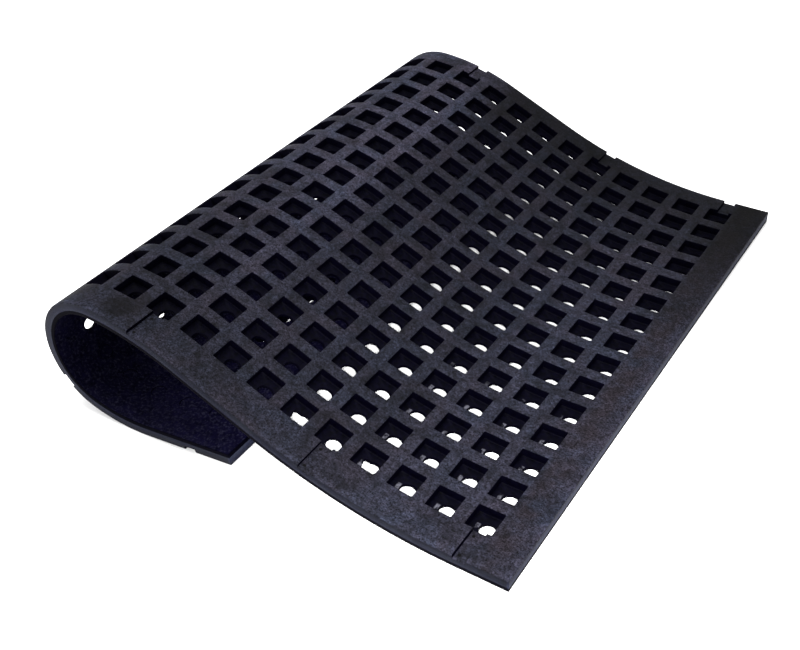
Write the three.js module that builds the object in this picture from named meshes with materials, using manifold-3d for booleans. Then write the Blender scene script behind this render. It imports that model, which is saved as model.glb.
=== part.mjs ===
// A moulded rubber stall mat with a grid of square drainage holes, lying with one end rolled over and
// tucked back underneath. Millimetres, +Z up. X runs along the mat, Y across it.
import * as THREE from 'three';
import { ConvexGeometry } from 'three/addons/geometries/ConvexGeometry.js';
import { mergeGeometries, mergeVertices } from 'three/addons/utils/BufferGeometryUtils.js';
import Module from 'manifold-3d';

// The moulding
const THICKNESS = 12.7;
const HOLE = 25.4;
const RIB = 12.7;
const COLUMNS = 19;
const ROWS = 15;
const END_BORDER = 34;
const FRONT_BORDER = 34;
const BACK_BORDER = 24;
const EDGE_BEVEL = 1.2;

// Each hole is square down to a depth, then closes in to a drain opening in the underside, which lies
// nearer to the free end and to the front edge than the middle of the hole does
const WELL_DEPTH = 8.9;
const DRAIN_DIAMETER = 14.8;
const DRAIN_SIDES = 6;
const DRAIN_SHIFT_ALONG = 3.8;
const DRAIN_SHIFT_ACROSS = 2.7;

// Shallow channels cross both long borders beside some of the edge holes
const CHANNEL_WIDTH = 12.7;
const CHANNEL_DEPTH = 3.2;
const CHANNEL_SHIFT = 2.3;
const CHANNEL_STEP = 5;
const CHANNEL_COLUMNS = [1, CHANNEL_STEP, 2 * CHANNEL_STEP, 3 * CHANNEL_STEP, COLUMNS];

// The bend, from the free end on the floor to the tucked end: each stretch has a run and a turn in degrees
const FOOT_RUN = 48;
const RISE_RUN = 210;
const RISE_TURN = 24.2;
const RAMP_RUN = 88;
const CREST_RUN = 95;
const CREST_TURN = 21.2;
const FOLD_RUN = 171;
const FOLD_TURN = 167.2;
const UNDER_RUN = 64;
const UNDER_TURN = 23.1;
const FACET_TURN = 16;
const CREASE_CLEARANCE = 1;

// A cutter reaches this far past the face that it opens
const OVERCUT = 1;

// Corners of a geometry closer than this are one corner
const SAME_POINT = 0.0001;

const PITCH = HOLE + RIB;
const LENGTH = COLUMNS * PITCH - RIB + 2 * END_BORDER;
const WIDTH = ROWS * PITCH - RIB + FRONT_BORDER + BACK_BORDER;
const TOP = THICKNESS / 2;
const UNDERSIDE = -THICKNESS / 2;
const TAIL_RUN = LENGTH - FOOT_RUN - RISE_RUN - RAMP_RUN - CREST_RUN - FOLD_RUN - UNDER_RUN;

const STRETCHES = [
  { run: FOOT_RUN, turn: 0 },
  { run: RISE_RUN, turn: RISE_TURN },
  { run: RAMP_RUN, turn: 0 },
  { run: CREST_RUN, turn: -CREST_TURN },
  { run: FOLD_RUN, turn: -FOLD_TURN },
  { run: UNDER_RUN, turn: -UNDER_TURN },
  { run: TAIL_RUN, turn: 0 },
];

const columnAt = (column) => END_BORDER + HOLE / 2 + (column - 1) * PITCH;
const rowAt = (row) => FRONT_BORDER + HOLE / 2 + (row - 1) * PITCH;

// Where the middle of the mat's thickness is, and which way it heads, at a distance along it.
// The heading is measured up from -X, and tilt is the heading of the free end.
function centreLine(along, tilt) {
  let x = 0;
  let z = 0;
  let heading = tilt;
  let left = along;
  STRETCHES.forEach(({ run, turn }, index) => {
    const last = index === STRETCHES.length - 1;
    const piece = last ? left : Math.min(left, run);
    const turned = THREE.MathUtils.degToRad(turn) * (piece / run);
    const chord = turned === 0 ? piece : (2 * piece * Math.sin(turned / 2)) / turned;
    x -= chord * Math.cos(heading + turned / 2);
    z += chord * Math.sin(heading + turned / 2);
    heading += turned;
    left -= piece;
  });
  return { x, z, heading };
}

// The point of the bent mat that was at a distance along it and a height above its middle when flat
function bent(along, height, tilt) {
  const { x, z, heading } = centreLine(along, tilt);
  return new THREE.Vector2(x + height * Math.sin(heading), z + height * Math.cos(heading));
}

// How many degrees the mat turns between two distances along it
function turnBetween(from, to) {
  return THREE.MathUtils.radToDeg(Math.abs(centreLine(to, 0).heading - centreLine(from, 0).heading));
}

// Distances along the mat at which its faceted bend has a crease. They run through the ribs, clear of the
// holes, and where the bend is tight also through the middle of the holes.
function creases() {
  const lines = [];
  for (let column = 1; column <= COLUMNS; column += 1) {
    const middle = columnAt(column);
    const reach = HOLE / 2 + CREASE_CLEARANCE;
    lines.push(middle - reach);
    if (turnBetween(middle - reach, middle + reach) > FACET_TURN) lines.push(middle);
    lines.push(middle + reach);
  }
  return lines.filter((line) => turnBetween(line - PITCH, line + PITCH) > 0);
}

// The outline of the section, with its end corners bevelled
function sectionPoints(tilt) {
  const inner = creases();
  const side = (height, inward) => [
    bent(0, height - inward, tilt),
    bent(EDGE_BEVEL, height, tilt),
    ...inner.map((along) => bent(along, height, tilt)),
    bent(LENGTH - EDGE_BEVEL, height, tilt),
    bent(LENGTH, height - inward, tilt),
  ];
  return [...side(TOP, EDGE_BEVEL), ...side(UNDERSIDE, -EDGE_BEVEL).reverse()];
}

// The mat rests on the lower edge of its free end and on the lowest part of the tucked layer
function restingTilt() {
  const points = sectionPoints(0);
  const heel = bent(EDGE_BEVEL, UNDERSIDE, 0);
  const rise = FOOT_RUN + RISE_RUN / 2;
  const drops = points.filter((point) => point.x < heel.x - rise)
    .map((point) => Math.atan2(heel.y - point.y, heel.x - point.x));
  return Math.max(...drops);
}

const TILT = restingTilt();
const SECTION = sectionPoints(TILT);
const FLOOR = Math.min(...SECTION.map((point) => point.y));
const FREE_END = Math.max(...SECTION.map((point) => point.x));
const ROLLED_END = Math.min(...SECTION.map((point) => point.x));
const MIDDLE = (FREE_END + ROLLED_END) / 2;

// A place on the resting mat: along it from the free end, across it from the front edge, above its middle
function place(along, across, height) {
  const point = bent(along, height, TILT);
  return new THREE.Vector3(point.x - MIDDLE, across - WIDTH / 2, point.y - FLOOR);
}

const wasm = await Module();
wasm.setup();

// A closed three.js geometry as a solid that can be joined and cut
function solid(geometry) {
  const bare = geometry.clone();
  bare.deleteAttribute('normal');
  bare.deleteAttribute('uv');
  const merged = mergeVertices(bare, SAME_POINT);
  return new wasm.Manifold(new wasm.Mesh({
    numProp: 3,
    vertProperties: new Float32Array(merged.attributes.position.array),
    triVerts: new Uint32Array(merged.index.array),
  }));
}

// A solid as a geometry that a mesh can hold
function geometryOf(body) {
  const { vertProperties, triVerts } = body.getMesh();
  const geometry = new THREE.BufferGeometry();
  geometry.setAttribute('position', new THREE.BufferAttribute(vertProperties, 3));
  geometry.setIndex(new THREE.BufferAttribute(triVerts, 1));
  geometry.computeVertexNormals();
  return geometry;
}

// The bent slab before anything is cut in it
function slab() {
  const corner = (point) => new THREE.Vector2(point.x - MIDDLE, point.y - FLOOR);
  const outline = new THREE.Shape(SECTION.map(corner));
  const geometry = new THREE.ExtrudeGeometry(outline, {
    depth: WIDTH - 2 * EDGE_BEVEL,
    bevelEnabled: true,
    bevelThickness: EDGE_BEVEL,
    bevelSize: EDGE_BEVEL,
    bevelOffset: -EDGE_BEVEL,
    bevelSegments: 1,
  });
  geometry.translate(0, 0, EDGE_BEVEL - WIDTH / 2);
  geometry.rotateX(Math.PI / 2);
  return solid(geometry);
}

// The empty space of one hole: a square well that narrows to the drain opening
function holeCutter(column, row) {
  const along = columnAt(column);
  const across = rowAt(row);
  const wellFloor = TOP - WELL_DEPTH;
  const points = [];
  for (const a of [-HOLE / 2, HOLE / 2]) {
    for (const b of [-HOLE / 2, HOLE / 2]) {
      points.push(place(along + a, across + b, TOP + OVERCUT));
      points.push(place(along + a, across + b, wellFloor));
    }
  }
  const narrowing = (HOLE - DRAIN_DIAMETER) / 2 / (wellFloor - UNDERSIDE);
  const radius = (DRAIN_DIAMETER / 2 - OVERCUT * narrowing) / Math.cos(Math.PI / DRAIN_SIDES);
  for (let side = 0; side < DRAIN_SIDES; side += 1) {
    const angle = (2 * Math.PI * (side + 0.5)) / DRAIN_SIDES;
    const a = radius * Math.cos(angle) - DRAIN_SHIFT_ALONG;
    const b = radius * Math.sin(angle) - DRAIN_SHIFT_ACROSS;
    points.push(place(along + a, across + b, UNDERSIDE - OVERCUT));
  }
  return new ConvexGeometry(points);
}

// The empty space of a channel, from the middle of an edge hole out past the edge of the mat
function channelCutter(column, inside, outside) {
  const along = columnAt(column) - CHANNEL_SHIFT;
  const points = [];
  for (const a of [-CHANNEL_WIDTH / 2, CHANNEL_WIDTH / 2]) {
    for (const across of [inside, outside]) {
      points.push(place(along + a, across, TOP - CHANNEL_DEPTH));
      points.push(place(along + a, across, TOP + OVERCUT));
    }
  }
  return new ConvexGeometry(points);
}

function stallMat() {
  const holes = [];
  for (let column = 1; column <= COLUMNS; column += 1) {
    for (let row = 1; row <= ROWS; row += 1) holes.push(holeCutter(column, row));
  }
  const channels = CHANNEL_COLUMNS.flatMap((column) => [
    channelCutter(column, rowAt(1), -OVERCUT),
    channelCutter(column, rowAt(ROWS), WIDTH + OVERCUT),
  ]);
  const cut = slab().subtract(solid(mergeGeometries(holes))).subtract(solid(mergeGeometries(channels)));
  const rubber = new THREE.MeshStandardMaterial({ color: '#2e2d31', roughness: 0.72, metalness: 0 });
  const mesh = new THREE.Mesh(geometryOf(cut), rubber);
  mesh.name = 'stall_mat';
  return mesh;
}

const part = new THREE.Group();
part.add(stallMat());

export default part;
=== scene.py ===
# %% [markdown]
# # A rubber stall mat with one end rolled under
# The mat is one moulding of black rubber: a grid of square wells, each with a round drain in its floor,
# inside a plain border. It lies on a floor, rises in a low hill and rolls back under itself.
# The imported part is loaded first. It gives the box that the finished mat has to stay in.

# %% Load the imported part
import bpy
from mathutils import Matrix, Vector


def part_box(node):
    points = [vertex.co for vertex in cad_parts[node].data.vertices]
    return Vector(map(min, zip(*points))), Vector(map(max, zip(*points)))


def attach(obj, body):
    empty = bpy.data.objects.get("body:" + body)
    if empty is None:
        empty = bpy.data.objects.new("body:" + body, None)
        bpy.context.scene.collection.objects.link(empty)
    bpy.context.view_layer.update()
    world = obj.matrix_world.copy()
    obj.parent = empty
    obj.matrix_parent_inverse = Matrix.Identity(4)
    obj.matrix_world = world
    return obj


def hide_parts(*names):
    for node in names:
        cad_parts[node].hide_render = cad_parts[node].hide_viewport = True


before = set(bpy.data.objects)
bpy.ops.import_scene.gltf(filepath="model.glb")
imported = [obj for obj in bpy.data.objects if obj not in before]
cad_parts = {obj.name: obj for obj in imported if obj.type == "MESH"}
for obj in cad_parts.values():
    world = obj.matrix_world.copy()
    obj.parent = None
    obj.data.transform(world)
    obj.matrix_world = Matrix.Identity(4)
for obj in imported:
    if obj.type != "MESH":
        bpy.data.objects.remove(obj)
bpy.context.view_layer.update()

# %% [markdown]
# ## Camera
# The picture is taken from the front right, above the free end, with a normal lens that leans a little
# to one side. A camera can be aimed with a Track To constraint, but a constraint can't hold that lean.
# So the aim is made from a direction, and the lean is a turn about it.

# %% Set the camera
import math
import bpy
from mathutils import Quaternion, Vector

EYE = Vector((0.5221, -0.8074, 0.6706))
AIM = Vector((-0.4731, 0.6589, -0.5848))
LEAN = math.radians(5.0)
LENS_MM = 49.9

camera_data = bpy.data.cameras.new("camera")
camera_data.lens = LENS_MM
camera_data.sensor_width = 36.0
camera = bpy.data.objects.new("camera", camera_data)
bpy.context.scene.collection.objects.link(camera)
upright = AIM.to_track_quat("-Z", "Y")
camera.rotation_mode = "QUATERNION"
camera.rotation_quaternion = Quaternion(AIM, LEAN) @ upright
camera.location = EYE
bpy.context.scene.camera = camera
print("camera", round(math.degrees(math.asin(-AIM.z)), 1), "degrees above the floor")

# %% [markdown]
# ## The flat moulding
# A mat like this is moulded flat and bent later, and it is easiest to model the same way. Every size
# here is a size of the flat sheet: *along* runs from the free end, *across* from the front edge, and
# *height* is measured from the middle of the thickness.

# %% Sizes of the flat sheet
MM = 0.001
THICKNESS = 12.7 * MM
HOLE = 25.4 * MM
RIB = 12.7 * MM
COLUMNS = 19
ROWS = 15
END_BORDER = 34 * MM
FRONT_BORDER = 34 * MM
BACK_BORDER = 24 * MM

PITCH = HOLE + RIB
LENGTH = COLUMNS * PITCH - RIB + 2 * END_BORDER
WIDTH = ROWS * PITCH - RIB + FRONT_BORDER + BACK_BORDER
TOP = THICKNESS / 2
UNDERSIDE = -THICKNESS / 2


def column_at(column):
    return END_BORDER + HOLE / 2 + (column - 1) * PITCH


def row_at(row):
    return FRONT_BORDER + HOLE / 2 + (row - 1) * PITCH


print("flat sheet", round(LENGTH, 4), "by", round(WIDTH, 4), "m, holes:", COLUMNS * ROWS)

# %% [markdown]
# ## The bend
# Seen from the front edge the mat is a row of straights and arcs: a foot on the floor, a rise, a ramp,
# a crest, the tight fold, a last turn under, and the tucked tail. A Simple Deform or Curve modifier
# could bend the sheet, but both shift points in ways that are hard to check. A formula that walks the
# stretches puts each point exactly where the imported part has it.

# %% Walk the stretches
import numpy as np

FOOT_RUN = 48 * MM
RISE_RUN = 210 * MM
RISE_TURN = math.radians(24.2)
RAMP_RUN = 88 * MM
CREST_RUN = 95 * MM
CREST_TURN = math.radians(21.2)
FOLD_RUN = 171 * MM
FOLD_TURN = math.radians(167.2)
UNDER_RUN = 64 * MM
UNDER_TURN = math.radians(23.1)
TAIL_RUN = LENGTH - FOOT_RUN - RISE_RUN - RAMP_RUN - CREST_RUN - FOLD_RUN - UNDER_RUN

STRETCHES = (
    (FOOT_RUN, 0),
    (RISE_RUN, RISE_TURN),
    (RAMP_RUN, 0),
    (CREST_RUN, -CREST_TURN),
    (FOLD_RUN, -FOLD_TURN),
    (UNDER_RUN, -UNDER_TURN),
    (TAIL_RUN, 0),
)


def bend(along, height, tilt):
    """x and z of points of the bent sheet, whose free end heads up from -X by tilt."""
    x = np.zeros_like(along)
    z = np.zeros_like(along)
    heading = np.full_like(along, tilt)
    left = along.copy()
    for run, turn in STRETCHES:
        piece = np.clip(left, 0, run)
        turned = turn * piece / run
        chord = piece * np.sinc(turned / 2 / math.pi)
        x -= chord * np.cos(heading + turned / 2)
        z += chord * np.sin(heading + turned / 2)
        heading += turned
        left -= piece
    return x + height * np.sin(heading), z + height * np.cos(heading)


# %% [markdown]
# The mat rests on the lower edge of its free end and on the lowest line of the rolled part. The tilt
# that brings both to one level is the steepest line from the free end down to any later point.

# %% Let it rest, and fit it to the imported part
SAMPLES = 2000
along_line = np.linspace(0, LENGTH, SAMPLES)
both_along = np.concatenate([along_line, along_line])
both_heights = np.concatenate([np.full(SAMPLES, TOP), np.full(SAMPLES, UNDERSIDE)])

level_x, level_z = bend(both_along, both_heights, 0)
heel_x, heel_z = bend(np.array([0.0]), np.array([UNDERSIDE]), 0)
later = both_along > FOOT_RUN + RISE_RUN
TILT = float(np.max(np.arctan2(heel_z - level_z[later], heel_x - level_x[later])))

rest_x, rest_z = bend(both_along, both_heights, TILT)
mat_low, mat_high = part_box("stall_mat")
X_SCALE = (mat_high[0] - mat_low[0]) / (rest_x.max() - rest_x.min())
Z_SCALE = (mat_high[2] - mat_low[2]) / (rest_z.max() - rest_z.min())


def place(along, across, height):
    """Points of the flat sheet, moved to where they lie on the resting mat."""
    x, z = bend(along, height, TILT)
    return np.stack([
        mat_low[0] + (x - rest_x.min()) * X_SCALE,
        mat_low[1] + across,
        mat_low[2] + (z - rest_z.min()) * Z_SCALE,
    ], axis=-1)


print("tilt", round(math.degrees(TILT), 2), "degrees, fitted by", round(X_SCALE, 4), round(Z_SCALE, 4))

# %% [markdown]
# ## One well as a stack of rings
# Each hole is a square well with softly rounded lips. Near the bottom it steps in to a flat ledge,
# and a round drain goes through the ledge. Cutting 285 of them with Booleans would leave edges that
# can't be rounded cleanly. Here a well is a stack of rings with the same number of points: the
# outline of the cell, the lip, the wall, the ledge, the drain and the outline below. Faces between
# neighbouring rings close it, and cells side by side share their outlines. The rubber round two of
# the drains in the front row is torn, so their rings follow a ragged outline instead of a circle.

# %% The rings of a well
LIP = 0.8 * MM
WELL_DEPTH = 8.9 * MM
WELL_CORNER = 1.0 * MM
DRAFT = 0.5 * MM
FILLET = 0.7 * MM
DRAIN_RADIUS = 7.4 * MM
DRAIN_LIP = 0.5 * MM
DRAIN_SHIFT_ALONG = 3.8 * MM
DRAIN_SHIFT_ACROSS = 2.7 * MM
OUTLINE_CORNER = 5.0 * MM
ROUND_OFF = 1 - math.cos(math.pi / 4)
SIDE_STATIONS = (-6.5 * MM, 0.0, 6.5 * MM)
TEARS = {
    (4, 1): (
        (3.7, -4.4), (5.5, 1.1), (6.0, 6.1), (2.6, 4.2), (-0.2, 4.0),
        (-7.5, 5.2), (-10.6, 1.0), (-9.3, -5.2), (-4.0, -9.8), (1.0, -8.5),
    ),
    (6, 1): (
        (3.9, -3.6), (4.1, -1.2), (5.4, 2.4), (-2.0, 3.5), (-9.5, 4.8),
        (-11.0, -1.0), (-10.6, -6.0), (-7.0, -9.6), (0.0, -9.0),
    ),
}


def square_ring(half, corner, stations, sharp=False):
    """A square outline with rounded corners. stations holds, for each side, the places of its points."""
    points = []
    for side in range(4):
        turn = complex(0, 1) ** side
        tip = half if sharp else half - corner * ROUND_OFF
        runs = [-half + corner, *stations[side], half - corner]
        for u, v in [(-tip, -tip), *((run, -half) for run in runs)]:
            turned = complex(u, v) * turn
            points.append((turned.real, turned.imag))
    return points


def round_ring(radius, stations):
    """A circle with as many points on each side as the square outline has."""
    points = []
    for side in range(4):
        count = len(stations[side]) + 3
        for step in range(count):
            angle = math.radians(-135 + 90 * (side + step / count))
            u = radius * math.cos(angle) - DRAIN_SHIFT_ALONG
            v = radius * math.sin(angle) - DRAIN_SHIFT_ACROSS
            points.append((u, v))
    return points


def torn_ring(points, tear):
    """A drain's ring moved out or in to a torn outline, whose corners are kept sharp."""
    if tear is None:
        return points
    middle = np.array([-DRAIN_SHIFT_ALONG, -DRAIN_SHIFT_ACROSS])
    ring = np.array(points) - middle
    corners = np.array(tear) * MM - middle
    ring_angle = np.arctan2(ring[:, 1], ring[:, 0])
    corner_angle = np.arctan2(corners[:, 1], corners[:, 0])
    order = np.argsort(corner_angle)
    corner_reach = np.hypot(corners[:, 0], corners[:, 1])
    reach = np.interp(ring_angle, corner_angle[order], corner_reach[order], period=2 * math.pi)
    moved = np.stack([reach * np.cos(ring_angle), reach * np.sin(ring_angle)], axis=-1)
    for corner, angle in zip(corners, corner_angle):
        apart = np.abs(np.angle(np.exp(1j * (ring_angle - angle))))
        moved[np.argmin(apart)] = corner
    return [tuple(point) for point in moved + middle]


def well_rings(stations, tear):
    """(outline, height, is_top) for each ring of a well, from its outline on top to the one below."""
    half = HOLE / 2
    foot = half - DRAFT
    ledge = TOP - WELL_DEPTH
    rim = torn_ring(round_ring(DRAIN_RADIUS + DRAIN_LIP, stations), tear)
    bore = torn_ring(round_ring(DRAIN_RADIUS, stations), tear)
    outline = square_ring(PITCH / 2, OUTLINE_CORNER, stations, sharp=True)
    return [
        (outline, TOP, True),
        (square_ring(half + LIP, WELL_CORNER + LIP, stations), TOP, True),
        (square_ring(half + LIP * ROUND_OFF, WELL_CORNER, stations), TOP - LIP * ROUND_OFF, True),
        (square_ring(half, WELL_CORNER, stations), TOP - LIP, True),
        (square_ring(foot, WELL_CORNER, stations), ledge + FILLET, False),
        (square_ring(foot - FILLET, WELL_CORNER, stations), ledge, False),
        (rim, ledge, False),
        (bore, ledge - DRAIN_LIP, False),
        (bore, UNDERSIDE + DRAIN_LIP, False),
        (rim, UNDERSIDE, False),
        (outline, UNDERSIDE, False),
    ]


print("a plain well has", len(square_ring(1, 0, [SIDE_STATIONS] * 4)), "points in each ring")

# %% [markdown]
# ## Channels in the border
# Beside some of the edge wells a shallow channel crosses the border to its outer edge. It is a step
# down in the top face, so the points between its two walls are simply lowered. For crisp walls the
# outline needs a pair of points close together at each wall, and only there.

# %% Channel places
CHANNEL_WIDTH = 12.7 * MM
CHANNEL_DEPTH = 3.2 * MM
CHANNEL_SHIFT = 2.3 * MM
CHANNEL_COLUMNS = (1, 5, 10, 15, COLUMNS)
WALL_LEAN = 0.25 * MM


def channel_edges(column):
    middle = column_at(column) - CHANNEL_SHIFT
    return middle - CHANNEL_WIDTH / 2, middle + CHANNEL_WIDTH / 2


def channel_stations(column, turn):
    """The points along a border-facing side of an edge well, with a pair at each channel wall."""
    low, high = (edge - column_at(column) for edge in channel_edges(column))
    places = [low - WALL_LEAN, low + WALL_LEAN, high - WALL_LEAN, high + WALL_LEAN, 0.0, 10 * MM]
    return tuple(sorted(turn * place for place in places))


def channel_drop(along, across):
    """How far the top face is lowered at a place on the flat sheet."""
    slack = HOLE / 2 - 0.1 * MM
    on_border = across < row_at(1) - slack or across > row_at(ROWS) + slack
    if not on_border:
        return 0.0
    for column in CHANNEL_COLUMNS:
        low, high = channel_edges(column)
        if low < along < high:
            return CHANNEL_DEPTH
    return 0.0


print("channels:", 2 * len(CHANNEL_COLUMNS))

# %% [markdown]
# ## Laying out the grid
# The cells are laid side by side in flat places, one after the other. Every ring point becomes a
# vertex, and doubles along shared outlines are welded later. Each face keeps a finish number: the
# worn top, the dark wall of a well, the ledge round its drain, the underside or the mat's side face.
# Inside the roll the drains of the front row show dark rings and no openings, because what lies beyond
# them is in shade. That shade is painted here: a dark disc closes each end of each of those drains'
# bores.

# %% Lay out the wells
TREAD, WALL, LEDGE, UNDER, SIDE = range(5)
WELL_FINISHES = (TREAD, TREAD, TREAD, WALL, LEDGE, LEDGE, WALL, WALL, WALL, UNDER)
vertices = []
faces = []
finishes = []


def add_ring(points):
    start = len(vertices)
    vertices.extend(points)
    return range(start, start + len(points))


def is_channel_wall(corners):
    """True for a face that drops from the border to the floor of a channel."""
    levels = [vertices[corner][2] for corner in corners]
    return max(levels) - min(levels) > CHANNEL_DEPTH / 2


def join_rings(upper, lower, finish):
    count = len(upper)
    for k in range(count):
        after = (k + 1) % count
        corners = (upper[k], upper[after], lower[after], lower[k])
        faces.append(corners)
        # Channel walls take the near-black wall finish as painted shade on the step.
        finishes.append(WALL if finish == TREAD and is_channel_wall(corners) else finish)


# Painted shade: discs close the front-row drains inside the roll, standing in for the shade there.
SHADE_CLOSED_DRAINS = [(column, 1) for column in range(15, COLUMNS + 1)]
SHADE_DISC_RINGS = (7, 8)


def add_well(column, row):
    stations = [SIDE_STATIONS] * 4
    if column in CHANNEL_COLUMNS and row == 1:
        stations[0] = channel_stations(column, 1)
    if column in CHANNEL_COLUMNS and row == ROWS:
        stations[2] = channel_stations(column, -1)
    tear = TEARS.get((column, row))
    shade_closed = (column, row) in SHADE_CLOSED_DRAINS
    previous = None
    for index, (outline, height, is_top) in enumerate(well_rings(stations, tear)):
        points = []
        for u, v in outline:
            along = column_at(column) + u
            across = row_at(row) + v
            drop = channel_drop(along, across) if is_top else 0.0
            points.append((along, across, height - drop))
        ring = add_ring(points)
        if shade_closed and index in SHADE_DISC_RINGS:
            faces.append(tuple(ring))
            finishes.append(LEDGE if index == SHADE_DISC_RINGS[0] else UNDER)
        if previous and not (shade_closed and index == SHADE_DISC_RINGS[1]):
            join_rings(previous, ring, WELL_FINISHES[index - 1])
        previous = ring


for column in range(1, COLUMNS + 1):
    for row in range(1, ROWS + 1):
        add_well(column, row)
print("wells:", COLUMNS * ROWS, "faces so far:", len(faces))

# %% [markdown]
# ## The border
# The border is made the same way, as loops round the whole grid. The first loop repeats the outer
# outlines of the edge cells. Each later loop moves out towards the mat's edge, goes over its rounded
# lip, down the side face and back underneath to the grid. A last narrow strip at the foot of the side
# face takes the black wall finish as painted shade, where the side face meets the table.

# %% Loops round the grid
EDGE_LIP = 1.2 * MM
FOOT_LIP = 0.6 * MM
DARK_FOOT = 4.0 * MM
GRID_LOW = (column_at(1) - PITCH / 2, row_at(1) - PITCH / 2)
GRID_HIGH = (column_at(COLUMNS) + PITCH / 2, row_at(ROWS) + PITCH / 2)


def grid_outline():
    """Places on the outline of the grid, in order, each with the way out to the mat's edge."""
    front, back, free_end, rolled_end = [], [], [], []
    for column in range(1, COLUMNS + 1):
        plain = list(SIDE_STATIONS)
        near = channel_stations(column, 1) if column in CHANNEL_COLUMNS else plain
        far = [-u for u in channel_stations(column, -1)] if column in CHANNEL_COLUMNS else plain
        reach = PITCH / 2 - OUTLINE_CORNER
        middle = column_at(column)
        front += [middle + u for u in (-PITCH / 2, -reach, *near, reach)]
        back += [middle + u for u in (-PITCH / 2, -reach, *sorted(far), reach)]
    for row in range(1, ROWS + 1):
        reach = PITCH / 2 - OUTLINE_CORNER
        free_end += [row_at(row) + v for v in (-PITCH / 2, -reach, *SIDE_STATIONS, reach)]
    rolled_end = list(free_end)
    loop = [(along, GRID_LOW[1], 0, -1) for along in front[1:]]
    loop += [(GRID_HIGH[0], GRID_LOW[1], 1, -1)]
    loop += [(GRID_HIGH[0], across, 1, 0) for across in rolled_end[1:]]
    loop += [(GRID_HIGH[0], GRID_HIGH[1], 1, 1)]
    loop += [(along, GRID_HIGH[1], 0, 1) for along in reversed(back[1:])]
    loop += [(GRID_LOW[0], GRID_HIGH[1], -1, 1)]
    loop += [(GRID_LOW[0], across, -1, 0) for across in reversed(free_end[1:])]
    loop += [(GRID_LOW[0], GRID_LOW[1], -1, -1)]
    return loop


def border_loop(outline, share, inset, height, is_top):
    """A loop that lies a share of the way out, then an inset back from the mat's edge."""
    points = []
    for along, across, out_along, out_across in outline:
        edge_along = {-1: inset, 0: along, 1: LENGTH - inset}[out_along]
        edge_across = {-1: inset, 0: across, 1: WIDTH - inset}[out_across]
        a = along + (edge_along - along) * share
        b = across + (edge_across - across) * share
        lowered = is_top and out_across != 0 and out_along == 0
        drop = channel_drop(a, b) if lowered else 0.0
        points.append((a, b, height - drop))
    return points


BORDER_LOOPS = (
    (0.0, 0.0, TOP, True),
    (0.35, EDGE_LIP, TOP, True),
    (0.7, EDGE_LIP, TOP, True),
    (1.0, EDGE_LIP, TOP, True),
    (1.0, EDGE_LIP * ROUND_OFF, TOP - EDGE_LIP * ROUND_OFF, True),
    (1.0, 0.0, TOP - EDGE_LIP, True),
    (1.0, 0.0, UNDERSIDE + DARK_FOOT, False),
    (1.0, 0.0, UNDERSIDE + FOOT_LIP, False),
    (1.0, FOOT_LIP * ROUND_OFF, UNDERSIDE + FOOT_LIP * ROUND_OFF, False),
    (1.0, FOOT_LIP, UNDERSIDE, False),
    (0.5, FOOT_LIP, UNDERSIDE, False),
    (0.0, 0.0, UNDERSIDE, False),
)
# The wall finish on the last strips of the side face is painted shade at its foot.
BORDER_FINISHES = (TREAD, TREAD, TREAD, TREAD, TREAD, SIDE, WALL, WALL, WALL, UNDER, UNDER)

outline = grid_outline()
previous = add_ring(border_loop(outline, *BORDER_LOOPS[0]))
for finish, loop in zip(BORDER_FINISHES, BORDER_LOOPS[1:]):
    ring = add_ring(border_loop(outline, *loop))
    join_rings(ring, previous, finish)
    previous = ring
print("border loops:", len(BORDER_LOOPS), "with", len(outline), "points each")

# %% [markdown]
# ## From flat sheet to resting mat
# All the flat places go through the bend at once. They are also kept on the mesh, as an attribute
# called flat_place, so that a finish can tell how far a point is from the mat's edges. Welding then
# joins the cells and the border into one closed skin, as the real mat is one moulding.

# %% Bend and weld
import bmesh

WELD = 0.02 * MM
CREASE = math.radians(40)

flat = np.array(vertices)
bent = place(flat[:, 0], flat[:, 1], flat[:, 2])
mesh = bpy.data.meshes.new("mat")
mesh.from_pydata(bent.tolist(), [], faces)
mesh.polygons.foreach_set("material_index", finishes)
flat_place = mesh.attributes.new("flat_place", "FLOAT_VECTOR", "POINT")
flat_place.data.foreach_set("vector", flat.astype(np.float32).ravel())

skin = bmesh.new()
skin.from_mesh(mesh)
bmesh.ops.remove_doubles(skin, verts=skin.verts, dist=WELD)
bmesh.ops.recalc_face_normals(skin, faces=skin.faces)
open_edges = sum(1 for edge in skin.edges if len(edge.link_faces) != 2)
volume = skin.calc_volume()
skin.to_mesh(mesh)
skin.free()
mesh.polygons.foreach_set("use_smooth", [True] * len(mesh.polygons))
mesh.set_sharp_from_angle(angle=CREASE)
mesh.update()
print("open edges:", open_edges, "volume:", round(volume * 1e6, 1), "cubic cm")

mat = bpy.data.objects.new("mat", mesh)
bpy.context.scene.collection.objects.link(mat)
mesh.calc_loop_triangles()
print("triangles:", len(mesh.loop_triangles))

# %% [markdown]
# ## Rubber
# Moulded rubber is black all through, with carbon in it, so colour alone says little. What shows is
# the wear: a greyed, dusty top with brownish and bluish patches, fine pale grain and dark smears, and
# deep black wells that nothing rubs against, whose black is also partly painted shade. Each layer is a
# noise of its own size, because one noise with many details looks like cloud at every size. First come
# small helpers that join nodes.

# %% Helpers for finishes
def new_finish(name, sheen_level):
    """A finish with its shader, and the place of each point in metres."""
    material = bpy.data.materials.new(name)
    material.use_nodes = True
    tree = material.node_tree
    shader = tree.nodes["Principled BSDF"]
    shader.inputs["Specular IOR Level"].default_value = sheen_level
    where = tree.nodes.new("ShaderNodeTexCoord").outputs["Object"]
    return material, tree, shader, where


def noise(tree, where, size, detail=2.0, rough=0.5, warp=0.0):
    """Noise whose blotches are about size metres wide, from 0 to 1."""
    node = tree.nodes.new("ShaderNodeTexNoise")
    node.inputs["Scale"].default_value = 1 / size
    node.inputs["Detail"].default_value = detail
    node.inputs["Roughness"].default_value = rough
    node.inputs["Distortion"].default_value = warp
    tree.links.new(where, node.inputs["Vector"])
    return node.outputs["Fac"]


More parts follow.
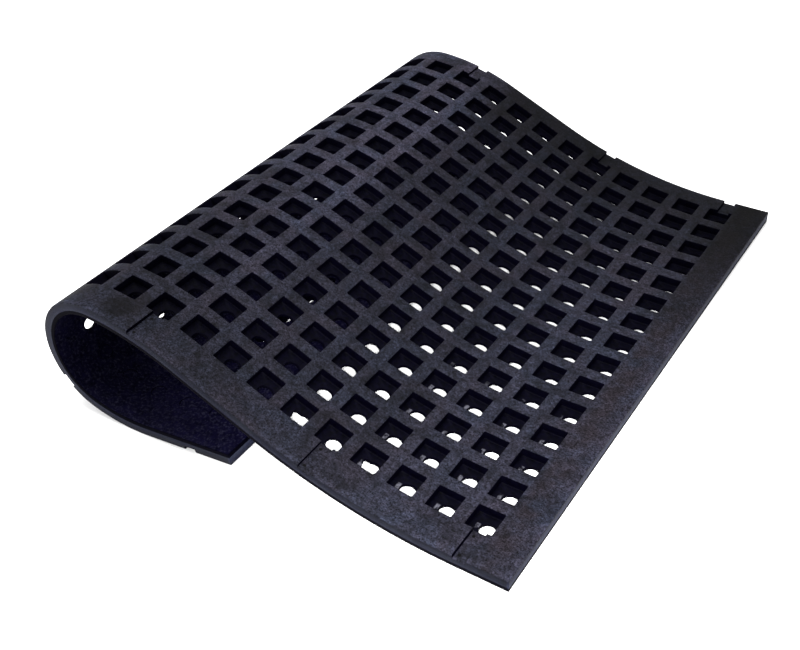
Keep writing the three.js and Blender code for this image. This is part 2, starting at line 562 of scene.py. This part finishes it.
def spread(tree, value, low, high, to_low=0.0, to_high=1.0):
    """Maps value from low..high to to_low..to_high, and clamps it."""
    node = tree.nodes.new("ShaderNodeMapRange")
    node.inputs["From Min"].default_value = low
    node.inputs["From Max"].default_value = high
    node.inputs["To Min"].default_value = to_low
    node.inputs["To Max"].default_value = to_high
    tree.links.new(value, node.inputs["Value"])
    return node.outputs["Result"]


def calculate(tree, operation, first, second):
    """One step of arithmetic on two values, either of which may be a plain number."""
    node = tree.nodes.new("ShaderNodeMath")
    node.operation = operation
    for socket, value in zip(node.inputs, (first, second)):
        if isinstance(value, (int, float)):
            socket.default_value = value
        else:
            tree.links.new(value, socket)
    return node.outputs["Value"]


def blend_colours(tree, amount, first, second):
    """first where amount is 0 and second where it is 1. Colours are sockets or plain (r, g, b)."""
    node = tree.nodes.new("ShaderNodeMix")
    node.data_type = "RGBA"
    tree.links.new(amount, node.inputs["Factor"])
    for socket, colour in zip((node.inputs[6], node.inputs[7]), (first, second)):
        if isinstance(colour, tuple):
            socket.default_value = (*colour, 1)
        else:
            tree.links.new(colour, socket)
    return node.outputs[2]


def brighten(tree, colour, factor):
    """A colour times a value."""
    node = tree.nodes.new("ShaderNodeVectorMath")
    node.operation = "SCALE"
    tree.links.new(colour, node.inputs[0])
    tree.links.new(factor, node.inputs["Scale"])
    return node.outputs["Vector"]


def relief(tree, shader, height, depth, strength=1.0):
    """Raises the surface by height times depth, in metres."""
    node = tree.nodes.new("ShaderNodeBump")
    node.inputs["Strength"].default_value = strength
    node.inputs["Distance"].default_value = depth
    tree.links.new(height, node.inputs["Height"])
    tree.links.new(node.outputs["Normal"], shader.inputs["Normal"])


# %% [markdown]
# ## The worn top, with painted light and shade
# The top is the part that hooves and brooms reach. Four noises of different sizes give its grain, its
# specks, its mottling and its smears, and two more tint it brown or blue. Some marks belong to a place
# on the sheet and not to chance: the middle of the free end is stained, and the rest are painted light
# and shade. A painted highlight runs along the rim, painted shade darkens the far side, the far half of
# the free end and the ramp, and a painted sheen makes the crest paler towards the back. They need the
# flat places that the mesh kept.

# %% Helpers for marks with a place
def flat_parts(tree):
    """Along, across and height of each point on the flat sheet, in metres."""
    node = tree.nodes.new("ShaderNodeAttribute")
    node.attribute_name = "flat_place"
    parts = tree.nodes.new("ShaderNodeSeparateXYZ")
    tree.links.new(node.outputs["Vector"], parts.inputs["Vector"])
    return parts.outputs["X"], parts.outputs["Y"], parts.outputs["Z"]


def band(tree, value, low, high, soft):
    """1 between low and high, and 0 outside, with a soft change as wide as soft."""
    rise = spread(tree, value, low - soft / 2, low + soft / 2)
    fall = spread(tree, value, high - soft / 2, high + soft / 2, 1.0, 0.0)
    return calculate(tree, "MULTIPLY", rise, fall)


def distance_to_rim(tree, along, across):
    """How far a point of the sheet is from the nearest edge of the sheet, in metres."""
    to_end = calculate(tree, "MINIMUM", along, calculate(tree, "SUBTRACT", LENGTH, along))
    to_side = calculate(tree, "MINIMUM", across, calculate(tree, "SUBTRACT", WIDTH, across))
    return calculate(tree, "MINIMUM", to_end, to_side)


def spot(tree, along, across, place_at, radius):
    """1 at a place on the sheet, and 0 from its radius outwards."""
    a = calculate(tree, "SUBTRACT", along, place_at[0])
    b = calculate(tree, "SUBTRACT", across, place_at[1])
    far = calculate(tree, "ADD", calculate(tree, "MULTIPLY", a, a), calculate(tree, "MULTIPLY", b, b))
    return spread(tree, calculate(tree, "SQRT", far, 0.0), radius * 0.6, radius, 1.0, 0.0)


# %% Make the worn top, with its painted light and shade
GRAIN = 1.5 * MM
SPECK = 3.2 * MM
MOTTLE = 8 * MM
SMEAR = 34 * MM
TINT = 60 * MM
LIP_HIGHLIGHT_REACH = 6 * MM
CREST_START = 340 * MM
CREST_FADE = 35 * MM
BROWN = (0.0093, 0.0084, 0.0129)
BLUE = (0.0073, 0.0082, 0.0137)
STAIN = (0.0115, 0.0090, 0.0122)
CREST_SMUDGE = (420 * MM, 19 * MM)
PIT_RADIUS = 1.9 * MM
MOUTH_SCUFF = (44 * MM, 4 * MM)
PITS = [(column_at(column) + 0.3 * MM, across) for column in (1, 5, 10) for across in (5.5 * MM, 28 * MM)]


def darker(tree, level, mask, share):
    """Takes a share of the level away where the mask is 1."""
    return calculate(tree, "MULTIPLY", level, spread(tree, mask, 0.0, 1.0, 1.0, 1.0 - share))


def worn_top_with_painted_light():
    material, tree, shader, where = new_finish("worn_top_with_painted_light", 0.04)
    along, across, _ = flat_parts(tree)
    grain = noise(tree, where, GRAIN, 2.0, 0.7)
    speck = noise(tree, where, SPECK, 2.0, 0.6)
    mottle = noise(tree, where, MOTTLE, 3.0, 0.6)
    smear = noise(tree, where, SMEAR, 4.0, 0.65, 1.0)
    tint = spread(tree, noise(tree, where, TINT, 4.0, 0.7, 0.6), 0.38, 0.62)

    level = spread(tree, grain, 0.3, 0.7, 0.1, 1.9)
    level = calculate(tree, "MULTIPLY", level, spread(tree, speck, 0.3, 0.7, 0.5, 1.5))
    level = calculate(tree, "MULTIPLY", level, spread(tree, mottle, 0.3, 0.7, 0.65, 1.35))
    level = darker(tree, level, spread(tree, smear, 0.49, 0.63), 0.45)
    # Painted highlight: paler near the edge, where the rounded lip catches light.
    rim = spread(tree, distance_to_rim(tree, along, across), LIP_HIGHLIGHT_REACH * 0.5, LIP_HIGHLIGHT_REACH, 1.0, 0.0)
    level = darker(tree, level, rim, -0.35)

    stain = calculate(tree, "MULTIPLY", band(tree, along, 11 * MM, 30 * MM, 8 * MM),
                      spread(tree, noise(tree, where, 22 * MM, 3.0, 0.6), 0.38, 0.6))
    # Painted shade: the far half of the free end is darker.
    painted_end_shade = calculate(tree, "MULTIPLY", band(tree, along, -MM, END_BORDER, 6 * MM),
                          spread(tree, across, 0.34, 0.5))
    # Painted shade: the far side before the crest is darker, as light falls off towards the back.
    before_crest = spread(tree, along, CREST_START, CREST_START + CREST_FADE, 1.0, 0.0)
    painted_back_shade = calculate(tree, "MULTIPLY", spread(tree, across, WIDTH - 150 * MM, WIDTH - 15 * MM),
                           before_crest)
    # Painted shade on the ramp, which tilts away from the light.
    ramp_shade = band(tree, along, 150 * MM, CREST_START, 50 * MM)
    # Painted sheen on the crest, paler towards the back and fading past the crest.
    past_crest = spread(tree, along, 440 * MM, 560 * MM, 1.0, 0.3)
    crest_sheen = calculate(tree, "MULTIPLY", spread(tree, along, CREST_START, CREST_START + CREST_FADE),
                           calculate(tree, "MULTIPLY", past_crest, spread(tree, across, 0.12, 0.42)))
    crest_smudge = spot(tree, along, across, CREST_SMUDGE, 17 * MM)
    level = darker(tree, level, stain, 0.3)
    level = darker(tree, level, painted_end_shade, 0.6)
    level = darker(tree, level, painted_back_shade, 0.58)
    level = darker(tree, level, ramp_shade, 0.32)
    level = darker(tree, level, crest_sheen, -0.95)
    level = darker(tree, level, crest_smudge, 0.5)
    scuff = calculate(tree, "MULTIPLY", spot(tree, along, across, MOUTH_SCUFF, 7 * MM),
                      spread(tree, mottle, 0.4, 0.55))
    level = darker(tree, level, scuff, 0.7)
    for place_at in PITS:
        level = darker(tree, level, spot(tree, along, across, place_at, PIT_RADIUS), 0.95)

    ground = blend_colours(tree, tint, BROWN, BLUE)
    ground = blend_colours(tree, calculate(tree, "MULTIPLY", stain, 0.7), ground, STAIN)
    tree.links.new(brighten(tree, ground, level), shader.inputs["Base Color"])
    tree.links.new(spread(tree, mottle, 0.2, 0.8, 0.55, 0.75), shader.inputs["Roughness"])
    height = calculate(tree, "ADD", calculate(tree, "MULTIPLY", speck, 2.0), grain)
    relief(tree, shader, height, 0.15 * MM)
    return material


# %% [markdown]
# ## The finishes that nothing rubs, and their painted shade and light
# The walls of the wells keep the skin of the mould: almost pure black with a cold tint, which is partly
# painted shade for the deep wells. The ledges are nearly as dark, also partly painted shade, and in the
# corner wells near the viewer a painted patch of light lies beside each drain. The underside is the same
# black with many pale specks. The side face is a smoother slate blue with streaks that run along it,
# painted darker just under its lip as shade, paler round the roll and palest at the two ends of the mat,
# where a painted highlight stands for light catching the end faces.

# %% Make the walls, the ledges and the underside
DEEP_BLACK = (0.0002, 0.0001, 0.0009)
COLD_BLACK = (0.0006, 0.0005, 0.0026)
LEDGE_LIGHT_PATCH = (0.05, 0.05, 0.062)


def well_wall():
    material, tree, shader, where = new_finish("well_wall", 0.01)
    mottle = noise(tree, where, 5 * MM, 5.0, 0.65)
    # Almost pure black: the unrubbed skin of the mould, partly painted shade for the deep well.
    colour = blend_colours(tree, spread(tree, mottle, 0.3, 0.7), DEEP_BLACK, COLD_BLACK)
    tree.links.new(colour, shader.inputs["Base Color"])
    shader.inputs["Roughness"].default_value = 0.6
    relief(tree, shader, mottle, 0.1 * MM)
    return material


def cell_place(tree, value, first):
    """How far a place is past the middle of its hole, from half a pitch below to half a pitch above."""
    shifted = calculate(tree, "ADD", value, PITCH / 2 - first + PITCH)
    return calculate(tree, "SUBTRACT", calculate(tree, "MODULO", shifted, PITCH), PITCH / 2)


def ledge():
    material, tree, shader, where = new_finish("ledge", 0.02)
    along, across, _ = flat_parts(tree)
    mottle = noise(tree, where, 4 * MM, 5.0, 0.65)
    # Nearly black: partly painted shade in the deep well.
    skin = blend_colours(tree, spread(tree, mottle, 0.35, 0.65), (0.0001, 0.0001, 0.0006), COLD_BLACK)
    # A painted patch of light on the ledge beside each drain, only in the wells near the viewer.
    painted_light_patch = calculate(tree, "MULTIPLY",
                      band(tree, cell_place(tree, along, column_at(1)), 4 * MM, 7.5 * MM, MM),
                      band(tree, cell_place(tree, across, row_at(1)), -6 * MM, 0.5 * MM, MM))
    near = calculate(tree, "MULTIPLY", spread(tree, along, 0.16, 0.2, 1.0, 0.0),
                     spread(tree, across, 0.16, 0.22, 1.0, 0.0))
    painted_light_patch = calculate(tree, "MULTIPLY", calculate(tree, "MULTIPLY", painted_light_patch, near),
                      spread(tree, noise(tree, where, 6 * MM, 3.0, 0.7), 0.42, 0.58))
    tree.links.new(blend_colours(tree, painted_light_patch, skin, LEDGE_LIGHT_PATCH), shader.inputs["Base Color"])
    shader.inputs["Roughness"].default_value = 0.65
    relief(tree, shader, mottle, 0.15 * MM)
    return material


def speckled_underside():
    material, tree, shader, where = new_finish("underside", 0.02)
    mottle = noise(tree, where, 9 * MM, 5.0, 0.7)
    specks = spread(tree, noise(tree, where, 2.6 * MM, 3.0, 0.7), 0.5, 0.72)
    dark, light = (0.0003, 0.0002, 0.0034), (0.0020, 0.0016, 0.0100)
    skin = blend_colours(tree, spread(tree, mottle, 0.35, 0.65), dark, light)
    tree.links.new(blend_colours(tree, specks, skin, (0.013, 0.0125, 0.025)), shader.inputs["Base Color"])
    shader.inputs["Roughness"].default_value = 0.65
    relief(tree, shader, mottle, 0.3 * MM)
    return material


# %% Make the side face
SLATE = (0.0026, 0.0027, 0.0095)
PALE_SLATE = (0.0068, 0.0080, 0.0138)


def side_face():
    material, tree, shader, where = new_finish("side_face", 0.05)
    along, across, height = flat_parts(tree)
    streak_place = tree.nodes.new("ShaderNodeCombineXYZ")
    tree.links.new(calculate(tree, "MULTIPLY", along, 0.08), streak_place.inputs["X"])
    tree.links.new(calculate(tree, "MULTIPLY", across, 0.08), streak_place.inputs["Y"])
    tree.links.new(height, streak_place.inputs["Z"])
    streak = noise(tree, streak_place.outputs["Vector"], 2.5 * MM, 4.0, 0.65)
    grain = noise(tree, where, GRAIN, 2.0, 0.7)
    colour = blend_colours(tree, spread(tree, streak, 0.35, 0.65), SLATE, PALE_SLATE)
    level = spread(tree, grain, 0.3, 0.7, 0.6, 1.4)
    # Painted shade: darker towards the top of the side face, under the lip.
    level = darker(tree, level, spread(tree, height, -MM, TOP - 2.5 * MM), 0.5)
    level = darker(tree, level, band(tree, along, 370 * MM, 700 * MM, 120 * MM), -0.8)
    # Painted highlight: the end faces are paler, where they catch light at a grazing angle.
    to_end = calculate(tree, "MINIMUM", along, calculate(tree, "SUBTRACT", LENGTH, along))
    level = darker(tree, level, spread(tree, to_end, 0.6 * MM, 2.5 * MM, 1.0, 0.0), -1.8)
    tree.links.new(brighten(tree, colour, level), shader.inputs["Base Color"])
    shader.inputs["Roughness"].default_value = 0.55
    relief(tree, shader, grain, 0.1 * MM)
    return material


for finish in (worn_top_with_painted_light(), well_wall(), ledge(), speckled_underside(), side_face()):
    mesh.materials.append(finish)
print("finishes:", [finish.name for finish in mesh.materials])

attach(mat, "root")
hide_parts("stall_mat")

# %% [markdown]
# ## Studio
# Black rubber needs a lot of light, so a product picture of it burns the white table out, and the
# drains show white. A glowing table would also look white underneath the mat, where no light gets in.
# So the table is plain and the lights are strong. A big soft one hangs above the mat, and a weak fill
# at the front left keeps the roll from shading the table. A lamp with
# a narrow, soft-edged cone stands by the camera, where it reaches through each drain to the very piece
# of table that is seen through it. It misses the hollow of the roll, which stays dark. The Standard
# view keeps white at white and black at black.

# %% Floor and lights
FLOOR_SIZE = 12.0
bpy.ops.mesh.primitive_plane_add(size=FLOOR_SIZE, location=(0, 0, 0))
floor = bpy.context.object
floor.name = "floor"
floor_finish = bpy.data.materials.new("pale_floor")
floor_finish.use_nodes = True
floor_shader = floor_finish.node_tree.nodes["Principled BSDF"]
floor_shader.inputs["Base Color"].default_value = (0.85, 0.85, 0.85, 1)
floor_shader.inputs["Roughness"].default_value = 0.9
floor_shader.inputs["Specular IOR Level"].default_value = 0.0
floor.data.materials.append(floor_finish)


def soft_light(name, place_at, aim_at, size, power):
    data = bpy.data.lights.new(name, "AREA")
    data.shape = "SQUARE"
    data.size = size
    data.energy = power
    light = bpy.data.objects.new(name, data)
    bpy.context.scene.collection.objects.link(light)
    light.location = place_at
    aim = Vector(aim_at) - Vector(place_at)
    light.rotation_euler = aim.to_track_quat("-Z", "Y").to_euler()
    return light


soft_light("overhead_softbox", (-0.1, 0.05, 1.9), (0, 0, 0), 1.4, 54)
soft_light("front_left_fill", (-1.2, -0.9, 0.5), (-0.2, -0.3, 0.0), 0.5, 16)

CONE = math.radians(30)
CONE_AIM = Vector((0.065, -0.11, 0.03))
lamp = bpy.data.lights.new("camera_lamp", "SPOT")
lamp.energy = 130
lamp.spot_size = CONE
lamp.spot_blend = 0.8
lamp.shadow_soft_size = 0.04
camera_lamp = bpy.data.objects.new("camera_lamp", lamp)
bpy.context.scene.collection.objects.link(camera_lamp)
camera_lamp.location = EYE - AIM * 0.05
camera_lamp.rotation_euler = (CONE_AIM - camera_lamp.location).to_track_quat("-Z", "Y").to_euler()

world = bpy.data.worlds.new("studio")
world.use_nodes = True
world.node_tree.nodes["Background"].inputs["Color"].default_value = (1, 1, 1, 1)
world.node_tree.nodes["Background"].inputs["Strength"].default_value = 1.15
bpy.context.scene.world = world
bpy.context.scene.view_settings.view_transform = "Standard"
